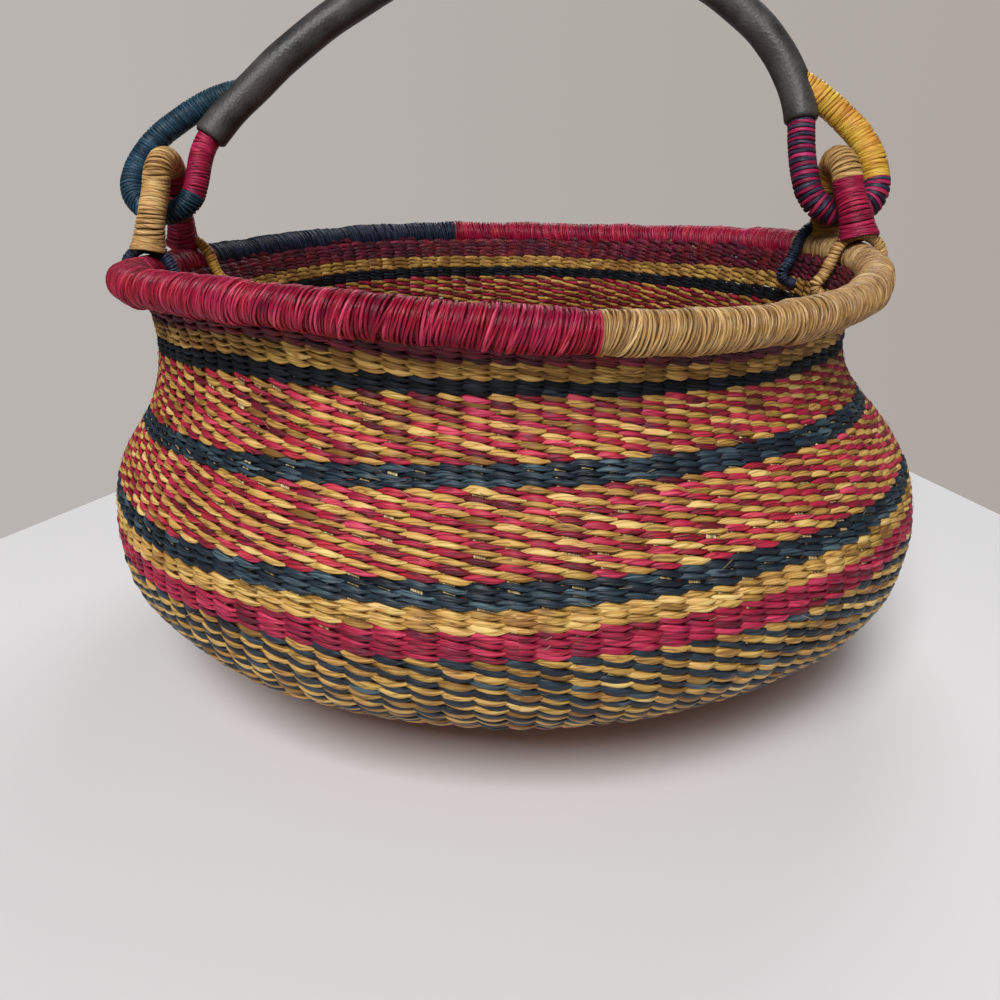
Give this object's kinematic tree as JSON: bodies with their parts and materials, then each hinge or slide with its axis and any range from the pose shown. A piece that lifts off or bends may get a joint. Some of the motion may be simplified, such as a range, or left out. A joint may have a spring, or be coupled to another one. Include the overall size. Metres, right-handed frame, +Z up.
{
  "type": "woven basket",
  "caption": "Pot-bellied twined grass basket in coloured bands, with a bound rim, an arched ear on each side and a leather-gripped swing handle ringed through the ears.",
  "frame": {"origin": "on the floor, under the middle of the basket", "axes": "+X towards the ear on the right of the picture, +Y towards the back, +Z up"},
  "size_m": [0.4354, 0.433, 0.3798],
  "materials": {
    "crimson_grass": "matt dyed grass strands",
    "dark_crimson_grass": "matt dyed grass strands",
    "gold_grass": "matt dyed grass strands",
    "natural_grass": "matt undyed grass strands",
    "navy_grass": "matt dyed grass strands",
    "yellow_grass": "matt dyed grass strands",
    "crimson_and_gold_grass": "matt dyed grass strands",
    "navy_and_gold_grass": "matt dyed grass strands",
    "crimson_and_navy_grass": "matt dyed grass strands",
    "grass_stalks": "matt undyed grass strands",
    "dark_leather": "satin leather, worn soft"
  },
  "bodies": {
    "basket": {"base_start": "natural_grass", "base_rows": "crimson_and_gold_grass", "base_curve_rows": "crimson_and_gold_grass", "lower_two_tone_rows": "navy_and_gold_grass", "lower_crimson_band": "crimson_grass", "lower_gold_band": "gold_grass", "lower_navy_band": "navy_grass", "belly_two_tone_rows": "crimson_and_gold_grass", "middle_navy_band": "navy_grass", "shoulder_two_tone_rows": "crimson_and_gold_grass", "upper_navy_band": "navy_grass", "upper_gold_band": "gold_grass", "upper_crimson_rows": "dark_crimson_grass", "rim_core": "grass_stalks", "rim_natural_binding": "natural_grass", "rim_back_crimson_binding": "crimson_grass", "rim_navy_binding": "navy_grass", "rim_front_crimson_binding": "crimson_grass", "left_ear_core": "grass_stalks", "left_ear_natural_binding": "natural_grass", "left_ear_crimson_binding": "crimson_grass", "left_ear_front_foot": "navy_grass", "left_ear_back_foot": "yellow_grass", "right_ear_core": "grass_stalks", "right_ear_crimson_binding": "crimson_grass", "right_ear_natural_binding": "natural_grass", "right_ear_yellow_binding": "yellow_grass", "right_ear_front_foot": "natural_grass", "right_ear_back_foot": "navy_grass"},
    "handle": {"handle_core": "grass_stalks", "left_ring_navy_binding": "navy_grass", "left_ring_crimson_binding": "crimson_grass", "right_ring_yellow_binding": "yellow_grass", "right_ring_striped_binding": "crimson_and_navy_grass", "leather_grip": "dark_leather"}
  },
  "joints": [
    {"name": "handle_swing", "type": "hinge", "parent": "basket", "child": "handle", "pos_m": [0, 0.02, 0.229], "axis": [1, 0, 0], "range_deg": [-70, 110]}
  ]
}
